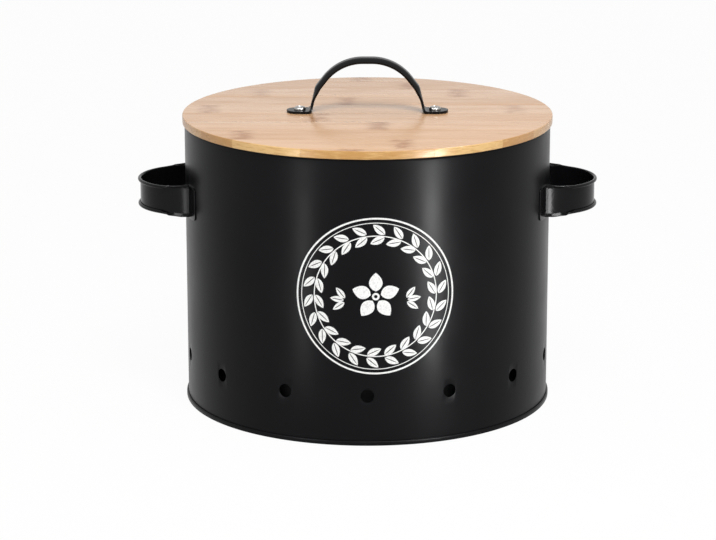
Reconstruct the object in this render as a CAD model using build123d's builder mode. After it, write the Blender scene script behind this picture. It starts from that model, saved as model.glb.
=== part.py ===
"""Potato storage bin: a round steel tin with vent holes, two strap handles and a bamboo lid.

Millimetres, +Z up. +X runs through the side handles, -Y is the front, and the origin is the middle
of the foot ring, on the surface that the bin stands on.
"""
import math
import os

from build123d import *

os.makedirs("parts", exist_ok=True)

# ---------------------------------------------------------------- driving dimensions
# Body
body_diameter = 260.0  # outside of the wall
body_height = 200.0  # foot to the top of the wall
sheet = 0.4  # steel of the wall and the base
hem_height = 6.0  # safe edge at the mouth, the sheet folded down flat inside

# Vent holes
vent_count = 14
vent_diameter = 8.9
vent_height = 35.0  # centres above the foot

# Side seam of the wall, near the back and midway between two vents
side_seam_width = 6.0

# Bottom double seam
seam_height = 3.1
seam_clearance = 0.04  # between the folded layers
body_hook_length = 1.8
cover_hook_length = 1.6

# Base panel
base_recess = 5.0  # foot to the underside of the panel

# Side handles
handle_width = 72.0  # over the two legs, along Y
leg_straight = 1.42  # wall to the start of the half-round
handle_height = 23.4  # at the legs
handle_middle = 149.7  # strap's mid-height above the foot
strap_sheet = 0.8
flange_length = 15.0  # on the wall, beyond the bend
flange_corner = 3.5
crease_radius = 0.9  # outside of the sharp bend at the wall
edge_roll_diameter = 2.4
edge_roll_stand = 1.7  # roll's crown beyond the strap's outer face
edge_roll_bevel = 0.8
edge_roll_take = 1.55  # height that each rolled edge takes from the strap
fade_start = 55.0  # degrees from the nose, where the rolled edges begin to die out
fade_steps = 3  # flats between there and the leg
fade_end = 0.05  # share of the roll that is left where a leg begins

# Lid
lid_overhang = 2.0  # past the wall, all round
board_thickness = 6.0
lid_seat_gap = 0.3
stave_count = 10
front_stave = 8.6  # widths of the first and the last stave, which the rim cuts off
back_stave = 19.4
plug_thickness = 6.0
plug_clearance = 1.6  # between the plug and the mouth

# Lid pull
pull_screw_pitch = 96.0
pull_sheet = 1.8
pull_rise = 39.5  # board to the crown
shoulder_half_span = 37.2
shoulder_rise = 19.0
haunch_slope = 52.0  # degrees
haunch_radius = 36.0
leg_clearance = 2.6  # outer face of a leg, where it meets the foot, to the screw's head
shoulder_bend = 5.0
foot_bend = 3.0
foot_width = 16.6
foot_end = 57.4  # foot's round end from the middle
neck_width = 10.6
grip_width = 14.0
grip_depth = 3.3  # crown to the turned-down edges
grip_flat = 6.0  # flat along the crown
neck_fillet = 2.0
leg_end = 10.0  # along the leg, shoulder's corner down to the end of the flat foot piece
grip_start = 5.5  # and to the start of the full channel
flat_droop = 0.1  # of the edges where the channel begins

# Pull screws
screw_hole_clearance = 0.3
screw_diameter = 4.0
screw_head_diameter = 8.4
screw_head_height = 2.4
screw_bite = 4.4  # depth in the plug
pilot_clearance = 0.05
recess_length = 4.2
recess_width = 1.1
recess_depth = 1.3

# ---------------------------------------------------------------- sizes that follow
body_radius = body_diameter / 2
wall_middle = body_radius - sheet / 2
wall_inside = body_radius - sheet
layer = sheet + seam_clearance
vent_pitch = 360 / vent_count
mouth_radius = body_radius - 2 * sheet
plug_radius = mouth_radius - plug_clearance
lid_radius = body_radius + lid_overhang
board_bottom = body_height + lid_seat_gap
board_top = board_bottom + board_thickness
plug_bottom = board_bottom - plug_thickness
pull_hole_x = pull_screw_pitch / 2


def polar(radius, angle):
    """Point at a radius and an angle in degrees from the +X axis."""
    return (radius * math.cos(math.radians(angle)), radius * math.sin(math.radians(angle)))


# ---------------------------------------------------------------- body shell
# The wall's middle line runs from the mouth down the wall and round the body hook, which lies
# outside the wall and points up. Folds are drawn square.
body_hook_foot = sheet + seam_clearance + sheet / 2
body_hook_radius = wall_middle + 2 * layer
body_hook_top = body_hook_foot - sheet / 2 + body_hook_length

with BuildPart() as body_shell:
    with BuildSketch(Plane.XZ):
        with BuildLine():
            Polyline(
                (wall_middle, body_height - sheet / 2),
                (wall_middle, body_hook_foot),
                (body_hook_radius, body_hook_foot),
                (body_hook_radius, body_hook_top),
            )
        trace(line_width=sheet)
        with Locations((mouth_radius, body_height)):
            Rectangle(2 * sheet, hem_height, align=(Align.MIN, Align.MAX))
    revolve(axis=Axis.Z)
    # The side seam: the sheet's end lapped inside its start.
    seam_low = base_recess + 2 * sheet
    seam_high = body_height - hem_height
    seam_plane = Plane((0, 0, seam_low), x_dir=(*polar(1, vent_pitch / 2), 0), z_dir=(0, 0, 1))
    with BuildSketch(seam_plane):
        Circle(wall_inside)
        Circle(wall_inside - sheet, mode=Mode.SUBTRACT)
        Rectangle(side_seam_width, body_radius, align=(Align.CENTER, Align.MIN), mode=Mode.INTERSECT)
    extrude(amount=seam_high - seam_low)
    front = Vector(0, -1, 0)
    vent_planes = [
        Plane(origin=(0, 0, vent_height), z_dir=front.rotate(Axis.Z, i * vent_pitch))
        for i in range(vent_count)
    ]
    with BuildSketch(*vent_planes):
        Circle(vent_diameter / 2)
    extrude(amount=body_radius + sheet, mode=Mode.SUBTRACT)
body_shell.part.label = "body_shell"

# ---------------------------------------------------------------- base panel
# Middle line from the panel's centre outwards: the chuck wall inside the body wall, the foot
# ring, the seaming wall and the cover hook behind the body hook.
panel_middle = base_recess + sheet / 2
chuck_radius = wall_middle - layer
seaming_radius = wall_middle + 3 * layer
cover_hook_radius = wall_middle + layer
seam_top = seam_height - sheet / 2
cover_hook_end = seam_height - cover_hook_length

with BuildPart() as base_panel:
    with BuildSketch(Plane.XZ):
        with BuildLine():
            Polyline(
                (0, panel_middle),
                (chuck_radius, panel_middle),
                (chuck_radius, sheet / 2),
                (seaming_radius, sheet / 2),
                (seaming_radius, seam_top),
                (cover_hook_radius, seam_top),
                (cover_hook_radius, cover_hook_end),
            )
        trace(line_width=sheet)
    revolve(axis=Axis.Z)
base_panel.part.label = "base_panel"

# ---------------------------------------------------------------- side handles
# Plan of the right-hand strap's middle line: a half-round on two short legs square to the wall.
# Each leg ends in a sharp bend and a flange that lies on the wall.
strap_half = (handle_width - strap_sheet) / 2
leg_root_x = math.sqrt(body_radius**2 - strap_half**2)
bow_x = leg_root_x + leg_straight
crease_angle = math.degrees(math.asin(strap_half / body_radius))
flange_end_angle = crease_angle + math.degrees(flange_length / body_radius)
strap_low = handle_middle - handle_height / 2


def on_bow(angle):
    """Point of the strap's middle line round the half-circle, at a direction from the +X axis."""
    x, y = polar(strap_half, angle)
    return (bow_x + x, y)


def strap_section(point, angle, roll):
    """The strap's section where it faces a direction, with its rolled edges at a share of full."""
    reach = roll * edge_roll_stand
    outer_face = strap_sheet / 2
    bevel = roll * edge_roll_bevel
    top = handle_height / 2 - roll * edge_roll_take
    facing = (*polar(1, angle), 0)
    across = (*polar(1, angle - 90), 0)
    with BuildSketch(Plane((*point, handle_middle), x_dir=facing, z_dir=across)) as section:
        with BuildLine():
            Polyline(
                (-outer_face, 0),
                (-outer_face, top),
                (outer_face + reach - bevel, top),
                (outer_face + reach, top - bevel),
                (outer_face + reach, top - edge_roll_diameter),
                (outer_face, top - edge_roll_diameter),
                (outer_face, 0),
            )
            mirror(about=Plane.XZ)
        make_face()
    return section.sketch


with BuildPart() as right_handle:
    # Legs, from the half-round to the wall, and the flanges on it.
    with BuildSketch(Plane.XY.offset(strap_low)) as leg_plan:
        for side in (1, -1):
            with BuildLine():
                Line((bow_x, side * strap_half), (leg_root_x - strap_sheet, side * strap_half))
            trace(line_width=strap_sheet)
            with BuildLine():
                CenterArc(
                    (0, 0),
                    body_radius + strap_sheet / 2,
                    side * crease_angle,
                    side * (flange_end_angle - crease_angle),
                )
            trace(line_width=strap_sheet)
        Circle(body_radius, mode=Mode.SUBTRACT)
        # Each bend at the wall is round on the side of the D and sharp on the other.
        for side in (1, -1):
            inner_face = strap_half - strap_sheet / 2
            bend_outside = (math.sqrt(body_radius**2 - inner_face**2), side * inner_face)
            fillet(leg_plan.vertices().sort_by_distance(bend_outside)[0], crease_radius)
    extrude(amount=handle_height)
    # Only a flange's end has straight edges as short as the sheet is thick, away from the legs.
    flange_ends = right_handle.edges().filter_by(
        lambda edge: edge.geom_type == GeomType.LINE
        and edge.length < 1.01 * strap_sheet
        and abs(edge.center().Y) > handle_width / 2 + strap_sheet
    )
    fillet(flange_ends, flange_corner)
    # Nose and sides, with full rolled edges.
    with BuildLine():
        CenterArc((bow_x, 0, handle_middle), strap_half, -fade_start, 2 * fade_start)
    sweep(sections=strap_section(on_bow(-fade_start), -fade_start, 1))
    # The rest of the half-round, along which the rolled edges die out.
    fade_sections = []
    for step in range(fade_steps + 1):
        share = step / fade_steps
        angle = fade_start + share * (90 - fade_start)
        roll = 1 - share * (1 - fade_end)
        fade_sections.append(strap_section(on_bow(angle), angle, roll))
    loft([section.face() for section in fade_sections], ruled=True)
    loft([section.mirror(Plane.XZ).face() for section in fade_sections], ruled=True)
right_handle.part.label = "right_handle"

with BuildPart() as left_handle:
    add(right_handle.part.mirror(Plane.YZ))
left_handle.part.label = "left_handle"

# ---------------------------------------------------------------- lid board and plug
# Staves run along X, alike in width but for the first and the last.
stave_width = (2 * lid_radius - front_stave - back_stave) / (stave_count - 2)
first_joint = front_stave - lid_radius
joints = [first_joint + i * stave_width for i in range(stave_count - 1)]
stave_edges = [-lid_radius] + joints + [lid_radius]
pilot_radius = screw_diameter / 2 + pilot_clearance
screw_places = [(-pull_hole_x, 0), (pull_hole_x, 0)]

staves = []
for low, high in zip(stave_edges[:-1], stave_edges[1:]):
    with BuildPart() as stave:
        with BuildSketch(Plane.XY.offset(board_bottom)):
            Circle(lid_radius)
            with Locations((0, low)):
                edge_to_edge = (Align.CENTER, Align.MIN)
                Rectangle(2 * lid_radius, high - low, align=edge_to_edge, mode=Mode.INTERSECT)
            with Locations(screw_places):
                Circle(pilot_radius, mode=Mode.SUBTRACT)
        extrude(amount=board_thickness)
    stave.part.label = f"lid_stave_{len(staves) + 1:02d}"
    staves.append(stave)

with BuildPart() as lid_plug:
    with BuildSketch(Plane.XY.offset(plug_bottom)):
        Circle(plug_radius)
    extrude(amount=plug_thickness)
    with BuildSketch(Plane.XY.offset(board_bottom)):
        with Locations(screw_places):
            Circle(pilot_radius)
    extrude(amount=-(screw_bite + pilot_clearance), mode=Mode.SUBTRACT)
lid_plug.part.label = "lid_plug"

# ---------------------------------------------------------------- lid pull
# Side view of the sheet's middle line, from a foot up the leg to the shoulder, then along the
# straight haunch and round to the crown. From leg to leg the sheet is a shallow channel with its
# edges turned down, which dies out in the legs, and each foot piece is flat.
half_sheet = pull_sheet / 2
haunch = math.radians(haunch_slope)
shoulder_level = board_top + shoulder_rise - half_sheet
crown_level = board_top + pull_rise - half_sheet
foot_level = board_top + half_sheet
shoulder_out = shoulder_half_span - half_sheet
knee_out = shoulder_out - (crown_level - shoulder_level) / math.tan(haunch)
leg_out = pull_hole_x - screw_head_diameter / 2 - leg_clearance - half_sheet
leg = math.atan2(shoulder_level - foot_level, leg_out - shoulder_out)


def on_leg(distance):
    """Point of the +X leg's middle line, at a distance below the shoulder's corner."""
    return (
        shoulder_out + distance * math.cos(leg),
        shoulder_level - distance * math.sin(leg),
    )


def channel_section(distance, width, droop):
    """The sheet's section across the +X leg there, its edges further in than its middle."""
    x, z = on_leg(distance)
    up_leg = (-math.cos(leg), 0, math.sin(leg))
    with BuildSketch(Plane(origin=(x, 0, z), x_dir=(0, -1, 0), z_dir=up_leg)) as section:
        with BuildLine():
            Polyline(
                (-width / 2, -droop),
                (-grip_flat / 2, 0),
                (grip_flat / 2, 0),
                (width / 2, -droop),
            )
        trace(line_width=pull_sheet)
    return section.sketch


with BuildPart() as lid_pull:
    with BuildSketch(Plane.XZ):
        with BuildLine():
            FilletPolyline(
                (foot_end, foot_level),
                (leg_out, foot_level),
                on_leg(leg_end),
                radius=foot_bend,
            )
        trace(line_width=pull_sheet)
    extrude(amount=foot_width / 2, both=True)
    # Seen along X, the sheet narrows from the foot to the leg.
    with BuildSketch(Plane.YZ):
        with BuildLine():
            foot_side = (foot_width / 2, board_top + pull_sheet)
            neck_side = (neck_width / 2, crown_level)
            Polyline((0, board_top), (foot_width / 2, board_top), foot_side)
            FilletPolyline(foot_side, (neck_side[0], foot_side[1]), neck_side, radius=neck_fillet)
            Polyline(neck_side, (0, crown_level), (0, board_top))
        make_face()
        mirror(about=Plane.YZ)
    extrude(amount=foot_end, both=True, mode=Mode.INTERSECT)
    # Seen from above, the feet have round ends.
    with BuildSketch(Plane.XY.offset(board_top)):
        SlotOverall(2 * foot_end, foot_width)
    extrude(amount=pull_rise, mode=Mode.INTERSECT)
    with BuildSketch(Plane.XY.offset(board_top)):
        with Locations((pull_hole_x, 0)):
            Circle(screw_diameter / 2 + screw_hole_clearance)
    extrude(amount=pull_sheet, mode=Mode.SUBTRACT)
    flat_end = channel_section(leg_end, neck_width, flat_droop)
    channel_start = channel_section(grip_start, grip_width, grip_depth - pull_sheet)
    loft([flat_end.face(), channel_start.face()], ruled=True)
    mirror(about=Plane.YZ)
    with BuildLine(Plane.XZ):
        start_x, start_z = on_leg(grip_start)
        FilletPolyline(
            (start_x, start_z),
            (shoulder_out, shoulder_level),
            (knee_out, crown_level),
            (-knee_out, crown_level),
            (-shoulder_out, shoulder_level),
            (-start_x, start_z),
            radius=[
                shoulder_bend,
                haunch_radius - half_sheet,
                haunch_radius - half_sheet,
                shoulder_bend,
            ],
        )
    sweep(sections=channel_start)
lid_pull.part.label = "lid_pull"

# ---------------------------------------------------------------- pull screws
head_seat = board_top + pull_sheet
head_top = head_seat + screw_head_height
screw_end = board_bottom - screw_bite

with BuildPart() as pull_screws:
    for screw_x, _ in screw_places:
        with BuildSketch(Plane.XZ):
            with BuildLine():
                Polyline(
                    (screw_x, head_top),
                    (screw_x, screw_end),
                    (screw_x + screw_diameter / 2, screw_end),
                    (screw_x + screw_diameter / 2, head_seat),
                    (screw_x + screw_head_diameter / 2, head_seat),
                    (screw_x + screw_head_diameter / 2, head_top),
                    (screw_x, head_top),
                )
            make_face()
        revolve(axis=Axis((screw_x, 0, 0), (0, 0, 1)))
    with BuildSketch(Plane.XY.offset(head_top)):
        with Locations(screw_places):
            Rectangle(recess_length, recess_width)
            Rectangle(recess_width, recess_length)
    extrude(amount=-recess_depth, mode=Mode.SUBTRACT)
pull_screws.part.label = "pull_screws"

# ---------------------------------------------------------------- one file for each piece
pieces = [body_shell, base_panel, left_handle, right_handle]
pieces += staves + [lid_plug, lid_pull, pull_screws]
for piece in pieces:
    export_step(piece.part, f"parts/{piece.part.label}.step")
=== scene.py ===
"""Potato storage bin: a satin black steel tin with vent holes, two strap handles and a bamboo lid.

Blender units are metres. +Z is up, +X runs through the side handles, -Y is the front, and the
origin is the middle of the foot, on the floor. Every piece is modelled where it stands.
"""
import math

import bpy
from mathutils import Matrix, Vector


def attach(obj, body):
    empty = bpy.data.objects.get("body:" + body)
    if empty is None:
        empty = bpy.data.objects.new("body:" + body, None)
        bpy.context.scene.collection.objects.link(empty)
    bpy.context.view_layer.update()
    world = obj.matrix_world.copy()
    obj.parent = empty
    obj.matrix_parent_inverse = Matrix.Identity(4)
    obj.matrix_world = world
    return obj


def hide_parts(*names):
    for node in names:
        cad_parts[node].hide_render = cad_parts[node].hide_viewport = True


bl_info = {
    "name": "Potato Storage Bin",
    "version": (1, 0, 0),
    "blender": (4, 5, 0),
    "location": "3D View > Sidebar > Bin",
    "description": "Models a round steel storage bin with a bamboo lid, and lights it",
    "category": "Add Mesh",
}

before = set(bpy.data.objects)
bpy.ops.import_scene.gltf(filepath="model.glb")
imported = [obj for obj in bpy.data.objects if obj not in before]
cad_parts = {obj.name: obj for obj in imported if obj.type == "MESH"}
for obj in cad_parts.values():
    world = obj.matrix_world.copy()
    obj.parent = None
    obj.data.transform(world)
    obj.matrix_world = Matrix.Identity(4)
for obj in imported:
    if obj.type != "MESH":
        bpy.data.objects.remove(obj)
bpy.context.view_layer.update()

MM = 0.001


def colour(code):
    """Linear colour of an sRGB hex value such as d8b48c."""
    channels = [int(code[i:i + 2], 16) / 255 for i in (0, 2, 4)]
    return [c / 12.92 if c <= 0.04045 else ((c + 0.055) / 1.055) ** 2.4 for c in channels]


def measure(name, description, default):
    """A size to change, given in mm and kept in metres."""
    return bpy.props.FloatProperty(
        name=name, description=description, default=default * MM, unit="LENGTH"
    )


def tint(name, description, code):
    """A colour to change, given as sRGB hex and kept linear."""
    return bpy.props.FloatVectorProperty(
        name=name, description=description, default=colour(code), subtype="COLOR"
    )


# ------------ sizes and colours to change
class BodySizes(bpy.types.PropertyGroup):
    """Sizes of the steel body, its base and its vents."""

    diameter: measure("Diameter", "Outside of the wall", 260)
    height: measure("Height", "Foot to the top of the wall", 200)
    sheet: measure("Sheet", "Thickness of the steel", 0.4)
    hem_height: measure("Hem height", "Edge folded down inside the mouth", 6)
    seam_height: measure("Seam height", "Height of the bottom seam", 3.1)
    seam_layer: measure("Seam layer", "Step between layers of the bottom seam", 0.44)
    base_recess: measure("Base recess", "Foot to the underside of the base", 5)
    side_seam: measure("Side seam", "Width of the lap inside the back", 6)
    vents: bpy.props.IntProperty(
        name="Vents", description="Vent holes round the wall", default=14, min=1
    )
    vent_diameter: measure("Vent diameter", "Diameter of a vent hole", 9.2)
    vent_height: measure("Vent height", "Foot to the middle of the vents", 35.3)
    sides: bpy.props.IntProperty(
        name="Sides", description="Facets round the wall", default=420, min=28
    )


class HandleSizes(bpy.types.PropertyGroup):
    """Sizes of the two strap handles on the wall."""

    width: measure("Width", "Over the two legs", 72)
    height: measure("Height", "Height of the strap at its legs", 23.4)
    middle: measure("Middle", "Foot to the middle of the strap", 149.7)
    sheet: measure("Sheet", "Thickness of the strap", 0.8)
    leg_straight: measure("Leg", "Wall to the start of the half-round", 1.42)
    roll_take: measure("Roll take", "Height that each rolled edge takes from the strap", 1.55)
    fade_start: bpy.props.FloatProperty(
        name="Fade start", description="Angle from the nose where the rolled edges begin to open",
        default=math.radians(55), subtype="ANGLE"
    )
    roll_radius: measure("Roll radius", "Middle radius of the rolled edges", 0.85)
    flange_length: measure("Flange", "Length that lies on the wall", 15)
    flange_corner: measure("Flange corner", "Radius of the flange's corners", 3.5)


class LidSizes(bpy.types.PropertyGroup):
    """Sizes of the bamboo board and the plug under it."""

    overhang: measure("Overhang", "Board's edge past the wall", 1.5)
    seat_gap: measure("Seat gap", "Between the mouth and the board", 0.4)
    thickness: measure("Thickness", "Board's thickness", 5.9)
    front_stave: measure("Front stave", "What is left of the first stave", 8.1)
    back_stave: measure("Back stave", "What is left of the last stave", 18.9)
    rim_rounding: measure("Rim rounding", "Radius of the board's sanded rim", 0.7)
    plug_thickness: measure("Plug thickness", "Disc that centres the lid", 6.1)
    plug_gap: measure("Plug gap", "Between the plug and the mouth", 1.6)


class PullSizes(bpy.types.PropertyGroup):
    """Sizes of the bow pull and its screws."""

    rise: measure("Rise", "Board to the crown", 39.5)
    sheet: measure("Sheet", "Thickness of the stamped steel", 1.8)
    screw_pitch: measure("Screw pitch", "From one screw to the other", 96)
    foot_width: measure("Foot width", "Width of a foot", 16.6)
    foot_end: measure("Foot end", "Middle of the pull to a foot's end", 57.4)
    neck_width: measure("Neck width", "Narrowest part of a leg", 10.6)
    grip_width: measure("Grip width", "Width of the channel that fingers hold", 14)
    grip_droop: measure("Grip droop", "How far the channel's edges turn down", 2.2)
    head_diameter: measure("Screw head", "Diameter of a screw's head", 8.4)
    head_height: measure("Head height", "Height of a screw's head", 2.4)


class PrintSizes(bpy.types.PropertyGroup):
    """Sizes of the white print on the wall."""

    height: measure("Height", "Foot to the middle of the print", 105.6)
    turn: bpy.props.FloatProperty(
        name="Turn", description="Angle of the print's middle from the front",
        default=math.radians(2.5), subtype="ANGLE"
    )
    radius: measure("Radius", "Outer radius of the print's ring", 54.8)
    line: measure("Line", "Width of the print's ring", 1.2)


class Finishes(bpy.types.PropertyGroup):
    """Colours of the finishes."""

    coat: tint("Coat", "Baked enamel of the steel", "0e0e10")
    bamboo_pale: tint("Pale bamboo", "Board's palest fibres", "dbb087")
    bamboo_warm: tint("Warm bamboo", "Board's darker streaks", "c99b70")
    bamboo_node: tint("Bamboo nodes", "Marks where the cane had a joint", "9c6020")
    ink: tint("Ink", "Printed lines on the wall", "f2f2f0")
    plate: tint("Plate", "Nickel plate of the screws", "aaa8a6")


# ------------ small tools
def start_afresh(piece=None):
    """Leaves edit mode, deselects everything, and takes up the piece if one is given."""
    if bpy.context.mode != "OBJECT":
        bpy.ops.object.mode_set(mode="OBJECT")
    bpy.ops.object.select_all(action="DESELECT")
    if piece:
        piece.select_set(True)
        bpy.context.view_layer.objects.active = piece


def edit_all(piece):
    """Opens a piece in edit mode with everything selected."""
    start_afresh(piece)
    bpy.ops.object.mode_set(mode="EDIT")
    bpy.ops.mesh.select_all(action="SELECT")


def named(name):
    """Names the active object and its mesh, and returns it."""
    piece = bpy.context.object
    piece.name = name
    piece.data.name = name
    return piece


def settle(piece):
    """Moves the object's place into its mesh."""
    start_afresh(piece)
    bpy.ops.object.transform_apply(location=True, rotation=True, scale=True)


def join(pieces):
    """Joins pieces into the first one."""
    start_afresh(pieces[0])
    for piece in pieces:
        piece.select_set(True)
    bpy.ops.object.join()
    return pieces[0]


def twin(piece, name, matrix=Matrix.Identity(4)):
    """A moved copy of the piece with its own mesh."""
    copy = piece.copy()
    copy.data = piece.data.copy()
    copy.name = name
    copy.data.name = name
    copy.data.transform(matrix)
    bpy.context.collection.objects.link(copy)
    return copy


def spin(degrees):
    """A turn about the Z axis."""
    return Matrix.Rotation(math.radians(degrees), 4, "Z")


def shift(x, y=0):
    """A move by sizes in mm."""
    return Matrix.Translation((x * MM, y * MM, 0))


def lid_underside(scene):
    """Height of the board's underside in mm."""
    return (scene.bin_body.height + scene.bin_lid.seat_gap) / MM


def modified(piece, kind, **settings):
    """Adds a modifier with its settings and applies it."""
    start_afresh(piece)
    modifier = piece.modifiers.new(kind.lower(), kind)
    for key, value in settings.items():
        setattr(modifier, key, value)
    bpy.ops.object.modifier_apply(modifier=modifier.name)


def cut(piece, cutter):
    """Cuts a piece with another one, which goes."""
    modified(piece, "BOOLEAN", object=cutter, operation="DIFFERENCE", solver="EXACT")
    bpy.data.objects.remove(cutter)


def smooth(piece, angle):
    """Shades a piece smooth, apart from edges sharper than the angle in degrees."""
    start_afresh(piece)
    bpy.ops.object.shade_smooth_by_angle(angle=math.radians(angle))


def bevelled(piece, width, segments=2, clamped=True):
    """Rounds the sharp edges by a width in mm."""
    modified(
        piece, "BEVEL", width=width * MM, segments=segments, limit_method="ANGLE",
        angle_limit=math.radians(50), use_clamp_overlap=clamped
    )


def cylinder(name, radius, depth, location, rotation=(0, 0, 0)):
    """A closed cylinder to cut with, in metres."""
    start_afresh()
    bpy.ops.mesh.primitive_cylinder_add(
        vertices=40, radius=radius, depth=depth, location=location, rotation=rotation
    )
    piece = named(name)
    settle(piece)
    return piece


def tidied(piece):
    """Merges doubled points and turns the faces outwards."""
    edit_all(piece)
    bpy.ops.mesh.remove_doubles(threshold=0.002 * MM)
    bpy.ops.mesh.normals_make_consistent(inside=False)
    bpy.ops.object.mode_set(mode="OBJECT")
    return piece


def turned(name, outline, sides, filled=True):
    """Draws a circle and extrudes it through the (radius, height) points of an outline in mm."""
    start_afresh()
    radius, height = outline[0]
    bpy.ops.mesh.primitive_circle_add(
        vertices=sides, radius=radius * MM, fill_type="NOTHING", location=(0, 0, height * MM)
    )
    piece = named(name)
    settle(piece)
    edit_all(piece)
    if filled:
        bpy.ops.mesh.edge_face_add()
        bpy.ops.mesh.select_all(action="SELECT")
        bpy.ops.mesh.region_to_loop()
    for next_radius, next_height in outline[1:]:
        rise = (next_height - height) * MM
        share = next_radius / radius
        bpy.ops.mesh.extrude_edges_move(TRANSFORM_OT_translate={"value": (0, 0, rise)})
        bpy.ops.transform.resize(value=(share, share, 1), center_override=(0, 0, next_height * MM))
        radius, height = next_radius, next_height
    if filled:
        bpy.ops.mesh.edge_face_add()
    return tidied(piece)


def mapped_sheet(name, columns, rows, place):
    """Draws a grid and sends each of its points where place(column, row) says."""
    start_afresh()
    bpy.ops.mesh.primitive_grid_add(x_subdivisions=columns, y_subdivisions=rows, size=1)
    piece = named(name)
    for vertex in piece.data.vertices:
        column = round((vertex.co.x + 0.5) * columns)
        row = round((vertex.co.y + 0.5) * rows)
        vertex.co = place(column, row)
    return piece


def arc(centre, radius, start, end, steps):
    """Points round a centre, from one angle in degrees to another."""
    points = []
    for step in range(steps + 1):
        angle = math.radians(start + (end - start) * step / steps)
        points.append((centre[0] + radius * math.cos(angle), centre[1] + radius * math.sin(angle)))
    return points


def eased(share):
    """A share from 0 to 1, slowed at both ends."""
    share = min(1, max(0, share))
    return share * share * (3 - 2 * share)


def path_stations(corners, radii, line_step, arc_step):
    """Stations (point, heading) along straight runs with rounded corners, ends included."""
    points = [Vector(corner) for corner in corners]
    stations = []
    start = points[0]
    for before, corner, after, radius in zip(points, points[1:], points[2:], radii):
        run = (corner - before).normalized()
        onward = (after - corner).normalized()
        heading = math.atan2(run.y, run.x)
        turn = math.atan2(run.x * onward.y - run.y * onward.x, run.dot(onward))
        end = corner - run * radius * math.tan(abs(turn) / 2)
        steps = max(1, round((end - start).length / line_step))
        stations += [(start.lerp(end, step / steps), heading) for step in range(steps)]
        spoke = Vector((run.y, -run.x)) * math.copysign(radius, turn)
        centre = end - spoke
        steps = max(2, round(radius * abs(turn) / arc_step))
        for step in range(steps):
            bend = turn * step / steps
            stations.append((centre + Matrix.Rotation(bend, 2) @ spoke, heading + bend))
        start = centre + Matrix.Rotation(turn, 2) @ spoke
    heading = math.atan2(onward.y, onward.x)
    steps = max(1, round((points[-1] - start).length / line_step))
    return stations + [(start.lerp(points[-1], i / steps), heading) for i in range(steps + 1)]


def finish_piece(piece, body, slot, material, *nodes):
    """Gives the piece its material and body, and lets it stand for its CAD nodes. The slot is not
    used.
    """
    piece.data.materials.clear()
    piece.data.materials.append(material)
    if nodes:
        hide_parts(*nodes)
    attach(piece, body)


# ------------ materials
def add_node(tree, kind, inputs=None, **settings):
    """Adds a shader node. An input is a constant or another node's output socket."""
    node = tree.nodes.new("ShaderNode" + kind)
    for key, value in settings.items():
        setattr(node, key, value)
    for key, value in (inputs or {}).items():
        if isinstance(value, bpy.types.NodeSocket):
            tree.links.new(value, node.inputs[key])
        else:
            node.inputs[key].default_value = value
    return node


def set_up(name, **constants):
    """A new material: itself, its node tree and its shader with constants on the sockets."""
    material = bpy.data.materials.new(name)
    material.use_nodes = True
    shader = material.node_tree.nodes["Principled BSDF"]
    for key, value in constants.items():
        shader.inputs[key.replace("_", " ")].default_value = value
    return material, material.node_tree, shader


def grain(tree, size, stretch=(1, 1, 1), detail=2):
    """Noise on Object coordinates, with features of that size in mm."""
    place = add_node(tree, "TexCoord").outputs["Object"]
    mapped = add_node(tree, "Mapping", {"Vector": place, "Scale": stretch})
    inputs = {"Vector": mapped.outputs["Vector"], "Scale": 1 / (size * MM), "Detail": detail}
    return add_node(tree, "TexNoise", inputs).outputs["Fac"]


def between(tree, value, low, high, to_low=0, to_high=1):
    """The value from one range to another, with an eased run between the ends."""
    inputs = {
        "Value": value, "From Min": low, "From Max": high, "To Min": to_low, "To Max": to_high
    }
    node = add_node(tree, "MapRange", inputs, interpolation_type="SMOOTHSTEP")
    return node.outputs["Result"]


def reckoned(tree, operation, *values):
    """A Math node's result."""
    inputs = dict(enumerate(values))
    return add_node(tree, "Math", inputs, operation=operation).outputs["Value"]


def blended(tree, factor, first, second):
    """Mixes two colours, each three numbers or a socket."""
    inputs = {0: factor}
    for key, value in ((6, first), (7, second)):
        inputs[key] = value if isinstance(value, bpy.types.NodeSocket) else (*value, 1)
    return add_node(tree, "Mix", inputs, data_type="RGBA").outputs[2]


def give_relief(tree, shader, height, strength, depth):
    """Gives the shader a fine relief from a pattern, with its depth in mm."""
    inputs = {"Height": height, "Strength": strength, "Distance": depth * MM}
    bump = add_node(tree, "Bump", inputs)
    tree.links.new(bump.outputs["Normal"], shader.inputs["Normal"])


def baked_coat(name="baked_enamel", roughness=0.31, peel=0.5, gloss=0.075):
    """Baked matt enamel on sheet steel, sprayed: soft wide highlights with a faint ripple."""
    if name in bpy.data.materials:
        return bpy.data.materials[name]
    coat = bpy.context.scene.bin_finish.coat
    material, tree, shader = set_up(name, Specular_IOR_Level=gloss, IOR=1.5)
    # A sprayed film dries with a shallow peel, about 2.4 mm from crest to crest.
    ripple = grain(tree, 2.4, detail=1)
    # The matting powder in the film is finer than this, and is drawn at 0.4 mm so that it shows.
    powder = grain(tree, 0.4, detail=1)
    # Hands leave the film a little smoother in patches about 50 mm across.
    handled = grain(tree, 50, detail=3)
    height = reckoned(tree, "MULTIPLY_ADD", powder, 0.3, ripple)
    give_relief(tree, shader, height, peel, 0.05)
    spread = 0.03
    sheen = between(tree, handled, 0.3, 0.7, roughness - spread, roughness + spread)
    tree.links.new(sheen, shader.inputs["Roughness"])
    tone = blended(tree, handled, [c * 0.8 for c in coat], [c * 1.25 for c in coat])
    tree.links.new(tone, shader.inputs["Base Color"])
    return material


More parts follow.
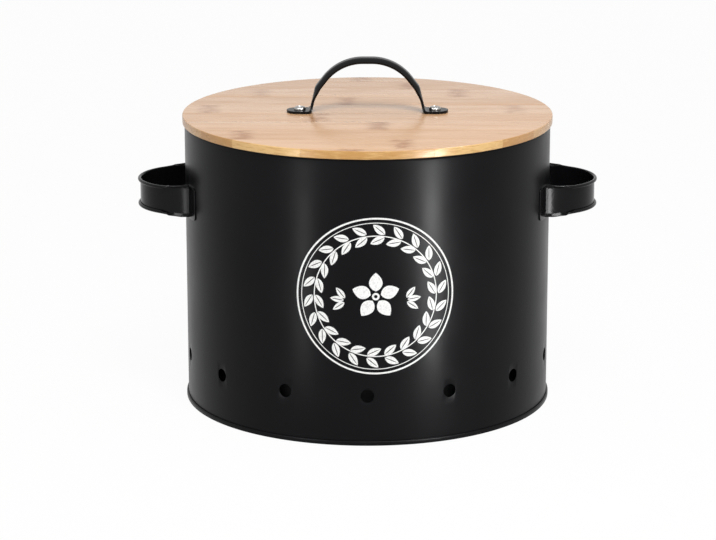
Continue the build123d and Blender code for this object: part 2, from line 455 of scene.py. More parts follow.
def pressed_bamboo():
    """Sanded and lacquered strips of pressed bamboo: straight fibres, node marks, a satin sheen."""
    if "pressed_bamboo" in bpy.data.materials:
        return bpy.data.materials["pressed_bamboo"]
    scene = bpy.context.scene
    finish = scene.bin_finish
    board_radius = scene.bin_body.diameter / 2 + scene.bin_lid.overhang
    material, tree, shader = set_up("pressed_bamboo", Specular_IOR_Level=0.5, IOR=1.5)
    # Bundles of fibres run along a strip: broad pale streaks, narrow ones and single fibres.
    broad = grain(tree, 7, stretch=(0.12, 1, 1), detail=2)
    narrow = grain(tree, 1.8, stretch=(0.07, 1, 1), detail=2)
    fibre = grain(tree, 0.5, stretch=(0.05, 1, 1), detail=2)
    streaks = reckoned(tree, "MULTIPLY_ADD", narrow, 0.4, broad)
    streaks = reckoned(tree, "MULTIPLY_ADD", fibre, 0.3, streaks)
    tone = add_node(tree, "Attribute", attribute_name="tone").outputs["Fac"]
    streaks = reckoned(tree, "ADD", streaks, tone)
    face = blended(
        tree, between(tree, streaks, 0.5, 1.25), finish.bamboo_pale, finish.bamboo_warm
    )
    # A cane's joint leaves a soft darker mark across a strip, about 14 mm long.
    place = add_node(tree, "TexCoord").outputs["Object"]
    split = add_node(tree, "SeparateXYZ", {"Vector": place})
    wander = grain(tree, 12, stretch=(0.5, 1, 1), detail=3)
    patches = grain(tree, 6, stretch=(0.8, 1, 1), detail=2)
    for name, strength in (("node_at", 0.75), ("other_node_at", 0.5)):
        node_at = add_node(tree, "Attribute", attribute_name=name).outputs["Fac"]
        # The mark's line wanders by up to 6 mm to either side of its place.
        shifted = reckoned(tree, "MULTIPLY_ADD", wander, 12 * MM, node_at)
        offset = reckoned(tree, "SUBTRACT", split.outputs["X"], shifted)
        offset = reckoned(tree, "ABSOLUTE", reckoned(tree, "ADD", offset, 6 * MM))
        mark = between(tree, offset, 1 * MM, 11 * MM, strength, 0)
        mark = reckoned(tree, "MULTIPLY", mark, between(tree, patches, 0.32, 0.6, 0.3, 1))
        face = blended(tree, mark, face, finish.bamboo_node)
    # The sawn rim shows the plies edge on: yellower, with short lines and darker end grain.
    flat = add_node(
        tree, "VectorMath", {0: place, 1: (1, 1, 0)}, operation="MULTIPLY"
    ).outputs["Vector"]
    radius = add_node(tree, "VectorMath", {0: flat}, operation="LENGTH").outputs["Value"]
    plies = grain(tree, 0.9, stretch=(0.12, 0.12, 1), detail=3)
    plies = reckoned(tree, "ADD", plies, reckoned(tree, "MULTIPLY", tone, 1.5))
    side = blended(tree, between(tree, plies, 0.3, 0.7), colour("e4bb7c"), colour("c1904f"))
    reach = reckoned(tree, "ABSOLUTE", split.outputs["X"])
    end_grain = between(tree, reach, 75 * MM, 128 * MM, 0, 0.6)
    side = blended(tree, end_grain, side, colour("b98a63"))
    rim = between(tree, radius, board_radius - 0.5 * MM, board_radius - 0.1 * MM)
    face = blended(tree, rim, face, side)
    tree.links.new(face, shader.inputs["Base Color"])
    tree.links.new(between(tree, streaks, 0.6, 1.2, 0.24, 0.34), shader.inputs["Roughness"])
    give_relief(tree, shader, fibre, 0.25, 0.04)
    return material


def nickel_plate():
    """Bright nickel plate on a rolled steel screw: white metal with fine turning marks."""
    plate = bpy.context.scene.bin_finish.plate
    material, tree, shader = set_up("nickel_plate", Metallic=1.0)
    tarnish = grain(tree, 1.5, detail=2)
    shade = blended(tree, between(tree, tarnish, 0.3, 0.7), plate, [c * 0.72 for c in plate])
    tree.links.new(shade, shader.inputs["Base Color"])
    tree.links.new(between(tree, tarnish, 0.3, 0.7, 0.2, 0.32), shader.inputs["Roughness"])
    give_relief(tree, shader, grain(tree, 0.12, detail=1), 0.2, 0.01)
    return material


def screen_ink():
    """Screen-printed white ink on the enamel: a thin flat film, a little uneven in cover."""
    ink = bpy.context.scene.bin_finish.ink
    material, tree, shader = set_up("screen_ink", Specular_IOR_Level=0.3, IOR=1.5, Roughness=0.55)
    cover = grain(tree, 1.2, detail=3)
    shade = blended(tree, between(tree, cover, 0.32, 0.55), [c * 0.82 for c in ink], ink)
    tree.links.new(shade, shader.inputs["Base Color"])
    give_relief(tree, shader, grain(tree, 0.35, detail=1), 0.15, 0.02)
    return material


# ------------ body
class BIN_OT_steel_wall(bpy.types.Operator):
    """Model the rolled steel wall with its hem, vents and side seam"""

    bl_idname = "bin.steel_wall"
    bl_label = "Steel Wall"

    def execute(self, context):
        body = context.scene.bin_body
        outer = body.diameter / 2 / MM
        sheet = body.sheet / MM
        inner = outer - sheet
        top = body.height / MM
        layer = body.seam_layer / MM
        hook_in = outer + 2 * layer - sheet
        hook_out = hook_in + sheet
        foot = layer
        hook_height = 1.8
        hook_top = foot + hook_height
        hem = top - body.hem_height / MM
        corner = 0.1
        # Rings of points below and above the vents, and others outside at the handles.
        vent_rings = [25, 45]
        handle_rings = [137, 160]
        outline = [(hook_in, hook_top), (hook_in, foot + sheet + corner)]
        outline += [(hook_in - corner, foot + sheet), (outer + corner, foot + sheet)]
        outline += [(outer, foot + sheet + corner)]
        outline += [(outer, height) for height in vent_rings + handle_rings + [hem]]
        # The fold of the hem leans in a little, which leaves a dark line under the board.
        lean = [(0, 1.5), (0.04, 1.2), (0.14, 0.9), (0.28, 0.6)]
        outline += [(outer - inward, top - below) for inward, below in lean]
        fold = 0.3
        outline += arc((inner - 0.2, top - fold), fold, 40, 160, 7)
        outline += [(inner - sheet, top - sheet), (inner - sheet, hem + corner)]
        outline += [(inner - sheet + corner, hem), (inner, hem)]
        outline += [(inner, height) for height in reversed(vent_rings)]
        outline += [(inner, foot + sheet)]
        outline += arc((inner + sheet, foot + sheet), sheet, 200, 270, 4)
        outline += arc((hook_out - sheet, foot + sheet), sheet, 290, 360, 4)
        outline += [(hook_out, hook_top), (hook_in, hook_top)]
        wall = turned("steel_wall", outline, body.sides, filled=False)
        # The side seam is a lap of the sheet's end inside, near the back, between two vents.
        half = body.side_seam / 2 / MM
        span = math.degrees(math.asin(half / inner))
        seam_angle = 90 + 180 / body.vents
        lap_low = body.base_recess / MM + 2 * sheet
        cells = 8
        sunk = 0.01

        def on_lap(column, row):
            angle = math.radians(seam_angle - span + 2 * span * column / cells)
            radius = (inner - sheet / 2 + sunk) * MM
            height = (lap_low + (hem - lap_low) * row / cells) * MM
            return (radius * math.cos(angle), radius * math.sin(angle), height)

        lap = mapped_sheet("lap", cells, cells, on_lap)
        modified(lap, "SOLIDIFY", thickness=(sheet - 2 * sunk) * MM, offset=0)
        tidied(lap)
        # Vents are punched straight in.
        punches = []
        for number in range(body.vents):
            punch = cylinder(
                f"punch_{number:02d}", body.vent_diameter / 2, 12 * MM,
                (0, -outer * MM, body.vent_height), (math.radians(90), 0, 0)
            )
            punch.data.transform(Matrix.Rotation(2 * math.pi * number / body.vents, 4, "Z"))
            punches.append(punch)
        cut(wall, join(punches))
        wall = join([wall, lap])
        bevelled(wall, 0.12, clamped=False)
        smooth(wall, 40)
        finish_piece(wall, "bin", "black_coat", baked_coat(), "body_shell")
        return {"FINISHED"}


class BIN_OT_pressed_base(bpy.types.Operator):
    """Model the recessed base and its double seam round the foot"""

    bl_idname = "bin.pressed_base"
    bl_label = "Pressed Base"

    def execute(self, context):
        body = context.scene.bin_body
        sheet = body.sheet / MM
        middle = body.diameter / 2 / MM - sheet / 2
        layer = body.seam_layer / MM
        low = body.base_recess / MM
        high = low + sheet
        chuck_in = middle - layer - sheet / 2
        chuck_out = chuck_in + sheet
        skirt_in = middle + 3 * layer - sheet / 2
        skirt_out = skirt_in + sheet
        hook_in = middle + layer - sheet / 2
        hook_out = hook_in + sheet
        top = body.seam_height / MM
        hook_height = 1.6
        # Rings of points on the flat panel, and the radii of its bends.
        hub, ring = 2, 60
        upper_bend, under_bend, foot_bend = 0.9, 0.5, 0.7
        # Radii of the folds inside the seam, of its rolled top and of its lower edge.
        crease, shoulder, edge = 0.2, 0.9, 0.25
        outline = [(hub, high), (ring, high), (chuck_out - upper_bend, high)]
        outline += arc((chuck_out - upper_bend, high - upper_bend), upper_bend, 75, 0, 5)
        outline += arc((chuck_out + crease, sheet + crease), crease, 180, 270, 3)
        outline += arc((skirt_in - crease, sheet + crease), crease, 270, 360, 3)
        outline += arc((skirt_in - crease, top - sheet - crease), crease, 0, 90, 3)
        outline += arc((hook_out + crease, top - sheet - crease), crease, 90, 180, 3)
        outline += [(hook_out, top - hook_height), (hook_in, top - hook_height)]
        outline += arc((hook_in + crease, top - crease), crease, 180, 90, 4)
        outline += arc((skirt_out - shoulder, top - shoulder), shoulder, 90, 0, 6)
        outline += arc((skirt_out - edge, edge), edge, 0, -90, 4)
        outline += arc((chuck_in + foot_bend, foot_bend), foot_bend, -90, -180, 6)
        outline += arc((chuck_in - under_bend, low - under_bend), under_bend, 0, 75, 4)
        outline += [(chuck_in - under_bend, low), (ring, low), (hub, low)]
        base = turned("pressed_base", outline, body.sides)
        smooth(base, 40)
        finish_piece(base, "bin", "black_coat", baked_coat(), "base_panel")
        return {"FINISHED"}


# ------------ side handles
class BIN_OT_strap_handles(bpy.types.Operator):
    """Model one strap handle with rolled edges, and its mirror image"""

    bl_idname = "bin.strap_handles"
    bl_label = "Strap Handles"

    def execute(self, context):
        size = context.scene.bin_handle
        wall = context.scene.bin_body.diameter / 2 / MM
        sheet = size.sheet / MM
        half = (size.width / MM - sheet) / 2
        bow_x = math.sqrt(wall**2 - half**2) + size.leg_straight / MM
        # Half of the strap's plan: (point, facing angle in degrees, share of the roll, curl of the
        # edges). The rolls open towards the legs, where the edges still flare out a little.
        fade = math.degrees(size.fade_start)
        # Most of the curl goes within a stretch from a little before the fade, and some of the
        # rest just before the leg.
        opened, lead, stretch = 0.86, 5, 26
        last_opened, last_from = 0.11, 82
        steps = 60
        half_plan = []
        for i, point in enumerate(arc((bow_x, 0), half, 0, 90, steps)):
            facing = 90 * i / steps
            share = 1 - eased((facing - fade) / (90 - fade))
            curl = 1 - opened * eased((facing - fade + lead) / stretch)
            curl -= last_opened * eased((facing - last_from) / (90 - last_from))
            half_plan.append((point, facing, share, curl))
        # The bend at the wall, then the flange on it.
        bend = 0.5
        steps = 8
        centre_y = half + bend
        centre_x = math.sqrt((wall + sheet / 2 + bend) ** 2 - centre_y**2)
        touch = math.degrees(math.atan2(centre_y, centre_x))
        for i, point in enumerate(arc((centre_x, centre_y), bend, 270, 180 + touch, steps)):
            facing = 90 - (90 - touch) * i / steps
            half_plan.append((point, facing, 0, max(0, 0.02 - 0.01 * i)))
        crease = math.degrees(math.asin(half / wall))
        end = crease + math.degrees(size.flange_length / MM / wall)
        flange_start = len(half_plan) - 1
        steps = 24
        for i, point in enumerate(arc((0, 0), wall + sheet / 2, touch, end, steps)):
            if i:
                half_plan.append((point, touch + (end - touch) * i / steps, 0, 0))
        count = len(half_plan) - 1
        arc_rows, edge_rows, flat_rows = 14, 18, 16
        rows = flat_rows + 2 * edge_rows
        roll = size.roll_radius / MM
        take = size.roll_take / MM
        corner = size.flange_corner / MM
        run = math.radians(end - touch) * (wall + sheet / 2)
        full_roll = math.radians(285)
        full_brim = 2.8
        weld_height, weld_depth, weld_radius = 5.2, 0.22, 2.6

        def across(row, share, curl):
            """Height and outward reach of the sheet's middle line at a row."""
            top = size.height / 2 / MM - share * take
            bent = full_roll * curl
            brim = full_brim * (1 - curl) ** 1.5
            steepest = min(bent, math.pi / 2)
            flat = top - (roll + sheet / 2) * math.sin(steepest) - brim * math.cos(steepest)
            step = abs(row - rows / 2) - flat_rows / 2
            # An edge is an arc that leans out, and then a straight brim.
            angle = bent * min(1, max(0, step) / arc_rows)
            out = brim * max(0, step - arc_rows) / (edge_rows - arc_rows)
            height = flat + roll * math.sin(angle) + out * math.cos(bent)
            reach = roll * (1 - math.cos(angle)) + out * math.sin(bent)
            if step <= 0:
                height = flat * (1 + step / (flat_rows / 2))
            return math.copysign(height, row - rows / 2), reach

        def on_strap(column, row):
            index = abs(column - count)
            side = 1 if column >= count else -1
            point, facing, share, curl = half_plan[index]
            height, reach = across(row, share, curl)
            if index > flange_start:
                # The flange's corners are rounded.
                into = max(0, abs(height) - (size.height / 2 / MM - corner))
                short = corner - math.sqrt(max(0, corner**2 - into**2))
                step = (index - flange_start) / (count - flange_start)
                angle = touch + math.degrees(step * (run - short) / (wall + sheet / 2))
                point = arc((0, 0), wall + sheet / 2, angle, angle, 1)[0]
                facing = angle
                # Two spot welds have left dimples.
                for weld in (-weld_height, weld_height):
                    away = math.hypot(step * run - run / 2, height - weld)
                    reach -= weld_depth * (1 - eased(away / weld_radius))
            facing = math.radians(facing)
            x = point[0] + reach * math.cos(facing)
            y = side * (point[1] + reach * math.sin(facing))
            return (x * MM, y * MM, size.middle + height * MM)

        right = mapped_sheet("right_strap_handle", 2 * count, rows, on_strap)
        tidied(right)
        modified(right, "SOLIDIFY", thickness=size.sheet, offset=0)
        bevelled(right, 0.18)
        smooth(right, 40)
        left = twin(right, "left_strap_handle", Matrix.Scale(-1, 4, (1, 0, 0)))
        edit_all(left)
        bpy.ops.mesh.flip_normals()
        bpy.ops.object.mode_set(mode="OBJECT")
        coat = baked_coat("baked_enamel_strap", 0.2, 0.35, gloss=0.12)
        finish_piece(right, "bin", "black_coat", coat, "right_handle")
        finish_piece(left, "bin", "black_coat", coat, "left_handle")
        return {"FINISHED"}


# ------------ lid
# Each stave from the front: its tone, a little darker above 0, and where its node marks lie in mm.
STAVES = [
    (0.1, -11, 90), (-0.1, 24, 180), (0.12, -86, 170), (-0.06, 7, 250), (0.04, -35, 240),
    (-0.1, -114, 105), (0.12, -15, 235), (-0.04, 66, -78), (0.14, 30, 250), (0.0, -5, 240),
]


def mark_strip(piece, **values):
    """Writes values that the bamboo reads, each the same on the whole piece."""
    for name, value in values.items():
        layer = piece.data.attributes.new(name, "FLOAT", "POINT")
        layer.data.foreach_set("value", [value] * len(piece.data.vertices))


class BIN_OT_lid_staves(bpy.types.Operator):
    """Turn the round board, saw it into its staves and ease their long edges"""

    bl_idname = "bin.lid_staves"
    bl_label = "Lid Staves"

    def execute(self, context):
        size = context.scene.bin_lid
        body = context.scene.bin_body
        radius = (body.diameter / 2 + size.overhang) / MM
        low = lid_underside(context.scene)
        high = low + size.thickness / MM
        ease = size.rim_rounding / MM
        outline = arc((radius - ease, low + ease), ease, -90, 0, 5)
        outline += arc((radius - ease, high - ease), ease, 0, 90, 5)
        board = turned("board", outline, 420)
        count = len(STAVES)
        front = size.front_stave / MM
        width = (2 * radius - front - size.back_stave / MM) / (count - 2)
        joints = [front - radius + i * width for i in range(count - 1)]
        edges = [-radius - 1] + joints + [radius + 1]
        bamboo = pressed_bamboo()
        for number, (tone, node_at, other_node_at) in enumerate(STAVES):
            stave = twin(board, f"bamboo_stave_{number + 1:02d}")
            edit_all(stave)
            for place, facing in ((edges[number], -1), (edges[number + 1], 1)):
                bpy.ops.mesh.select_all(action="SELECT")
                bpy.ops.mesh.bisect(
                    plane_co=(0, place * MM, 0), plane_no=(0, facing, 0), use_fill=True,
                    clear_outer=True
                )
            bpy.ops.object.mode_set(mode="OBJECT")
            # The sanded joints open by a hair along the top.
            planes = [edges[number] * MM, edges[number + 1] * MM]
            for edge in stave.data.edges:
                ends = [stave.data.vertices[i].co for i in edge.vertices]
                edge.select = any(
                    all(abs(end.y - plane) < 1e-6 for end in ends) for plane in planes
                ) and all(end.z > (high - 0.01) * MM for end in ends)
            bpy.ops.object.mode_set(mode="EDIT")
            bpy.ops.mesh.select_mode(type="EDGE")
            bpy.ops.mesh.bevel(offset=0.12 * MM, segments=1, affect="EDGES")
            bpy.ops.mesh.select_mode(type="VERT")
            smooth(stave, 30)
            mark_strip(stave, tone=tone, node_at=node_at * MM, other_node_at=other_node_at * MM)
            finish_piece(stave, "lid", "bamboo", bamboo, f"lid_stave_{number + 1:02d}")
        bpy.data.objects.remove(board)
        return {"FINISHED"}


class BIN_OT_lid_plug(bpy.types.Operator):
    """Model the disc under the board that centres the lid"""

    bl_idname = "bin.lid_plug"
    bl_label = "Lid Plug"

    def execute(self, context):
        size = context.scene.bin_lid
        body = context.scene.bin_body
        radius = (body.diameter / 2 - 2 * body.sheet - size.plug_gap) / MM
        high = lid_underside(context.scene)
        low = high - size.plug_thickness / MM
        rounding = 0.8
        outline = arc((radius - rounding, low + rounding), rounding, -90, 0, 5) + [(radius, high)]
        plug = turned("bamboo_plug", outline, 300)
        smooth(plug, 30)
        mark_strip(plug, tone=0.06, node_at=40 * MM, other_node_at=-70 * MM)
        finish_piece(plug, "lid", "bamboo", pressed_bamboo(), "lid_plug")
        return {"FINISHED"}


class BIN_OT_lid_pull(bpy.types.Operator):
    """Model the stamped bow pull with its two flat feet"""

    bl_idname = "bin.lid_pull"
    bl_label = "Lid Pull"

    def execute(self, context):
        size = context.scene.bin_pull
        board = lid_underside(context.scene) + context.scene.bin_lid.thickness / MM
        sheet = size.sheet / MM
        foot_z = board + sheet / 2
        crown_z = board + size.rise / MM - sheet / 2
        shoulder_rise = 19
        shoulder_z = board + shoulder_rise - sheet / 2
        shoulder_x = 36.3
        leg_x = 40.3
        slope = math.radians(52)
        knee_x = shoulder_x - (crown_z - shoulder_z) / math.tan(slope)
        end_x = size.foot_end / MM
        half_path = [(end_x, foot_z), (leg_x, foot_z), (shoulder_x, shoulder_z), (knee_x, crown_z)]
        corners = half_path + [(-x, z) for x, z in reversed(half_path)]
        bends = [3, 8, 35.1]
        stations = path_stations(corners, bends + bends[::-1], line_step=0.8, arc_step=0.5)
        columns = len(stations) - 1
        rows = 24
        foot_half = size.foot_width / 2 / MM
        neck_half = size.neck_width / 2 / MM
        grip_half = size.grip_width / 2 / MM
        droop = size.grip_droop / MM
        neck_rise = 5.5
        flat_end = 41.5
        # The channel begins at a height above the board and keeps the middle of the bow flat.
        channel_from, channel_span = 7, 11
        flat_share = 0.42

        def half_width(z):
            rise = z - (board + sheet)
            if rise < 0:
                return foot_half
            if rise < neck_rise:
                share = 1 - rise / neck_rise
                return foot_half - (foot_half - neck_half) * math.sqrt(1 - share**2)
            share = eased((rise - neck_rise) / (shoulder_z - board - sheet - neck_rise))
            return neck_half + (grip_half - neck_half) * share

        def on_bow(column, row):
            point, heading = stations[column]
            x, z = point
            half = half_width(z)
            across = math.sin(math.pi / 2 * (2 * row / rows - 1))
            y = half * across
            inside = abs(x) - flat_end
            if inside > 0:
                # The foot's end is round.
                reach = end_x - foot_half + math.sqrt(max(0, foot_half**2 - y**2))
                x = math.copysign(flat_end + inside * (reach - flat_end) / (end_x - flat_end), x)
            full = eased((z - board - channel_from) / channel_span)
            turned_down = max(0, (abs(y) / grip_half - flat_share) / (1 - flat_share))
            drop = full * droop * turned_down**1.4
            # The bow is drawn from the +X foot, so the outside of it is on the right.
            x += drop * -math.sin(heading)
            z += drop * math.cos(heading)
            return (x * MM, y * MM, z * MM)

        pull = mapped_sheet("bow_pull", columns, rows, on_bow)
        tidied(pull)
        modified(pull, "SOLIDIFY", thickness=size.sheet, offset=0)
        bevelled(pull, 0.4, segments=3)
        hole_radius = 2.3 * MM
        drills = []
        for side in (-1, 1):
            place = (side * size.screw_pitch / 2, 0, foot_z * MM)
            drills.append(cylinder("drill", hole_radius, 8 * MM, place))
        cut(pull, join(drills))
        smooth(pull, 40)
        coat = baked_coat("baked_enamel_pull", 0.27, 0.3, gloss=0.1)
        finish_piece(pull, "lid", "pull_coat", coat, "lid_pull")
        return {"FINISHED"}


class BIN_OT_pull_screws(bpy.types.Operator):
    """Turn a pan-head screw, sink its cross recess, and copy it"""

    bl_idname = "bin.pull_screws"
    bl_label = "Pull Screws"

    def execute(self, context):
        size = context.scene.bin_pull
        underside = lid_underside(context.scene)
        seat = underside + (context.scene.bin_lid.thickness + size.sheet) / MM
        top = seat + size.head_height / MM
        head = size.head_diameter / 2 / MM
        # The shank's tip, as radii and depths under the board's underside.
        shank = 2
        tip = [(0.5, 4.4), (1.2, 4.1), (shank, 2.6)]
        outline = [(radius, underside - depth) for radius, depth in tip] + [(shank, seat)]
        # The crown of the head goes in from its side and down from its top.
        edge = 0.15
        side_height = 0.7
        crown = [(0.2, 1.0), (0.65, 0.5), (1.4, 0.2), (2.4, 0.05)]
        outline += [(head - edge, seat), (head, seat + edge), (head, seat + side_height)]
        outline += [(head - inward, top - below) for inward, below in crown]
        outline += [(0.8, top)]
        screw = turned("pull_screw", outline, 48)
        # Each blade of the recess narrows downwards and sinks by half of its height.
        blade_length, blade_width, blade_height = 4.2, 1.1, 2.6
        taper = 0.55
        blades = []
        for along, across in ((blade_length, blade_width), (blade_width, blade_length)):
            start_afresh()
            bpy.ops.mesh.primitive_cube_add(size=1, location=(0, 0, top * MM))
            blade = named("blade")
            blade.scale = (along * MM, across * MM, blade_height * MM)
            settle(blade)
            for vertex in blade.data.vertices:
                if vertex.co.z < top * MM:
                    vertex.co.x *= taper if along > across else 1
                    vertex.co.y *= taper if across > along else 1
            blades.append(blade)
        for blade in blades:
            cut(screw, blade)
        bevelled(screw, 0.08, clamped=False)
        smooth(screw, 40)
        half_pitch = size.screw_pitch / 2 / MM
        # The second screw came to rest at another angle.
        other = twin(screw, "other", shift(half_pitch) @ spin(28))
        screw.data.transform(shift(-half_pitch))
        screws = join([screw, other])
        screws.name = "pan_head_screws"
        finish_piece(screws, "lid", "screw_plate", nickel_plate(), "pull_screws")
        return {"FINISHED"}


# ------------ print
class BIN_OT_wall_print(bpy.types.Operator):
    """Print a ring, a wreath and a flower in white on the wall"""

    bl_idname = "bin.wall_print"
    bl_label = "Wall Print"

    def execute(self, context):
        size = context.scene.bin_print
        wall = context.scene.bin_body.diameter / 2
        radius = size.radius / MM
        line = size.line / MM
        # Two rings, the inner one finer.
        inner_gap = 3.4
        parts = [self.ring(radius, line, 240)]
        parts.append(self.ring(radius - inner_gap, 0.5, 240))
        # A wreath of leaves in pairs on a round stem.
        stem = 42.5
        pairs = 22
        off_stem = 1.1
        leaf_lean = 32
        leaf = self.leaf(10.5, 2.6)
        for number in range(pairs):
            for side in (-1, 1):
                out = spin(360 * number / pairs) @ shift(stem + side * off_stem)
                parts.append(twin(leaf, "leaf", out @ spin(90 - side * leaf_lean)))
        parts.append(self.ring(stem, 0.7, 200))
        # A flower of five petals round a small ring.
        petal = self.leaf(13, 4.6, cleft=0)
        for number in range(5):
            parts.append(twin(petal, "petal", spin(90 + 72 * number) @ shift(3.6)))
        parts.append(self.ring(2.6, 1.4, 40))
        # A spray of three leaves on either side of it.
        spray_x, spray_y = 19.5, -3
        spray_gap = 2.2
        small = self.leaf(9.5, 2.1)
        for side in (-1, 1):
            for lean in (-34, 8, 50):
                turn = spin(lean if side > 0 else 180 - lean)
                move = shift(side * spray_x, spray_y) @ turn @ shift(spray_gap)
                parts.append(twin(small, "spray", move))
        for model in (leaf, petal, small):
            bpy.data.objects.remove(model)
        printed = join(parts)
        printed.name = "printed_wreath"
        # Wrapped round the wall, a hair proud of it.
        film = 0.03 * MM
        for vertex in printed.data.vertices:
            angle = size.turn + vertex.co.x / wall
            reach = wall + film
            height = size.height + vertex.co.y
            vertex.co = (reach * math.sin(angle), -reach * math.cos(angle), height)
        tidied(printed)
        modified(printed, "SOLIDIFY", thickness=film, offset=1)
        smooth(printed, 30)
        finish_piece(printed, "bin", "wall_print", screen_ink())
        return {"FINISHED"}

    def ring(self, radius, line, steps):
        """A flat ring drawn about the print's middle, in metres from sizes in mm."""

        def on_ring(column, row):
            angle = 2 * math.pi * column / steps
            reach = (radius - line * row) * MM
            return (reach * math.cos(angle), reach * math.sin(angle), 0)

        return mapped_sheet("ring", steps, 1, on_ring)

    def leaf(self, length, half, cleft=0.28):
        """A flat leaf along +X from the middle, split along its rib by a cleft."""
        columns, rows = 12, 3
        halves = []
        for side in (-1, 1):

            def on_leaf(column, row, side=side):
                share = column / columns
                swell = math.sin(math.pi * share**0.85) ** 0.8
                inner_edge = cleft * min(1, 4 * (1 - share)) * min(1, swell)
                y = inner_edge + (half * swell - inner_edge) * row / rows
                if half * swell < inner_edge:
                    y = half * swell
                return (length * share * MM, side * y * MM, 0)

            halves.append(mapped_sheet("leaf", columns, rows, on_leaf))
        return join(halves)


# ------------ stage
def aimed_light(name, place, target, width, height, power):
    """A rectangular soft light that looks at a target."""
    start_afresh()
    bpy.ops.object.light_add(type="AREA", location=place)
    light = bpy.context.object
    light.name = name
    light.rotation_euler = (Vector(target) - Vector(place)).to_track_quat("-Z", "Y").to_euler()
    light.data.shape = "RECTANGLE"
    light.data.size = width
    light.data.size_y = height
    light.data.energy = power
    return light


def seen_directly(tree):
    """1 for camera, mirror and glass rays, and 0 for the light that falls on things."""
    path = add_node(tree, "LightPath")
    rays = reckoned(tree, "MAXIMUM", path.outputs["Is Camera Ray"], path.outputs["Is Glossy Ray"])
    return reckoned(tree, "MAXIMUM", rays, path.outputs["Is Transmission Ray"])


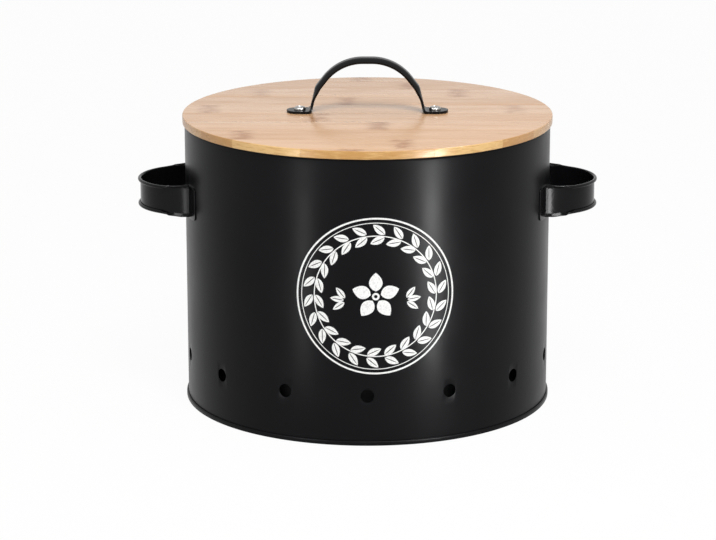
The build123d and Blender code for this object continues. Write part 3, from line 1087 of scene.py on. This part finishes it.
class BIN_OT_studio(bpy.types.Operator):
    """Set up the pale floor, the soft lights and the camera"""

    bl_idname = "bin.studio"
    bl_label = "Studio"

    def execute(self, context):
        scene = context.scene
        scene.view_settings.view_transform = "Standard"
        start_afresh()
        bpy.ops.mesh.primitive_plane_add(size=14, location=(0, 2, -0.02 * MM))
        floor = named("studio_floor")
        settle(floor)
        material, tree, shader = set_up("painted_floor", Roughness=0.9, Specular_IOR_Level=0.1)
        shade = blended(tree, grain(tree, 400, detail=1), colour("f8f8f8"), colour("fcfcfc"))
        tree.links.new(shade, shader.inputs["Base Color"])
        # The floor is white to the eye and keeps a small share of the bin's shadow.
        white_share = 0.95
        white = add_node(tree, "Emission", {"Color": (1, 1, 1, 1), "Strength": 1.0})
        share = reckoned(tree, "MULTIPLY", seen_directly(tree), white_share)
        mixed = add_node(
            tree, "MixShader",
            {0: share, 1: shader.outputs["BSDF"], 2: white.outputs["Emission"]}
        )
        output = tree.nodes["Material Output"]
        tree.links.new(mixed.outputs["Shader"], output.inputs["Surface"])
        floor.data.materials.append(material)

        world = bpy.data.worlds.new("studio_white")
        scene.world = world
        world.use_nodes = True
        tree = world.node_tree
        backdrop = tree.nodes["Background"]
        backdrop.inputs["Color"].default_value = (1, 1, 1, 1)
        # The world looks white and lights things at half of that.
        light = 0.5
        strength = reckoned(tree, "MULTIPLY_ADD", seen_directly(tree), 1 - light, light)
        tree.links.new(strength, backdrop.inputs["Strength"])

        middle = (0, 0, 0.1)
        aimed_light("overhead_softbox", (0.08, -0.5, 0.95), (0, 0, 0.2), 0.3, 0.3, 4.9)
        aimed_light("right_strip", (1.1, -1.9, 0.45), middle, 0.22, 1.1, 9)
        aimed_light("left_strip", (-1.1, -1.9, 0.45), middle, 0.22, 1.1, 1.5)
        # A narrow strip close to the wall and a small box above each handle only draw their
        # streaks on glossy things. The camera doesn't see them and they light nothing matt.
        # Those on the right are the stronger ones.
        for side, strip_power, box_power in ((1, 0.84, 2.4), (-1, 0.18, 0.8)):
            low = ((side * 0.168, -0.27, 0.092), (side * 0.045, -0.122, 0.092))
            high = ((side * 0.29, -0.23, 0.57), (side * 0.137, -0.034, 0.139))
            for streak in (
                aimed_light("streak_strip", *low, 0.032, 0.184, strip_power),
                aimed_light("streak_box", *high, 0.2, 0.12, box_power),
            ):
                streak.visible_camera = False
                streak.visible_diffuse = False

        tilt = math.radians(14.768)
        place = (0, -1.9492, 0.6038)
        bpy.ops.object.camera_add(location=place, rotation=(math.pi / 2 - tilt, 0, 0))
        camera = bpy.context.object
        camera.name = "camera"
        camera.data.sensor_width = 36
        camera.data.lens = 140.39
        camera.data.shift_x = -0.01314
        camera.data.clip_end = 50
        scene.camera = camera
        return {"FINISHED"}


# ------------ panel and registration
STEPS = [
    BIN_OT_steel_wall, BIN_OT_pressed_base, BIN_OT_strap_handles, BIN_OT_lid_staves,
    BIN_OT_lid_plug, BIN_OT_lid_pull, BIN_OT_pull_screws, BIN_OT_wall_print, BIN_OT_studio,
]
GROUPS = {
    "bin_body": BodySizes,
    "bin_handle": HandleSizes,
    "bin_lid": LidSizes,
    "bin_pull": PullSizes,
    "bin_print": PrintSizes,
    "bin_finish": Finishes,
}


class BIN_PT_panel(bpy.types.Panel):
    """Lists the bin's sizes, colours and steps"""

    bl_label = "Potato Storage Bin"
    bl_idname = "BIN_PT_panel"
    bl_space_type = "VIEW_3D"
    bl_region_type = "UI"
    bl_category = "Bin"

    def draw(self, context):
        for name, group in GROUPS.items():
            box = self.layout.box()
            box.label(text=group.__doc__)
            for key in group.__annotations__:
                box.prop(getattr(context.scene, name), key)
        for step in STEPS:
            self.layout.operator(step.bl_idname)


CLASSES = [*GROUPS.values(), *STEPS, BIN_PT_panel]


def register():
    """Registers the property groups, the steps and the panel."""
    for kind in CLASSES:
        bpy.utils.register_class(kind)
    for name, group in GROUPS.items():
        setattr(bpy.types.Scene, name, bpy.props.PointerProperty(type=group))


def unregister():
    """Takes everything back that register added."""
    for name in GROUPS:
        delattr(bpy.types.Scene, name)
    for kind in reversed(CLASSES):
        bpy.utils.unregister_class(kind)


def main():
    register()
    bpy.ops.bin.steel_wall()
    bpy.ops.bin.pressed_base()
    bpy.ops.bin.strap_handles()
    bpy.ops.bin.lid_staves()
    bpy.ops.bin.lid_plug()
    bpy.ops.bin.lid_pull()
    bpy.ops.bin.pull_screws()
    bpy.ops.bin.wall_print()
    bpy.ops.bin.studio()


if __name__ == "__main__":
    main()
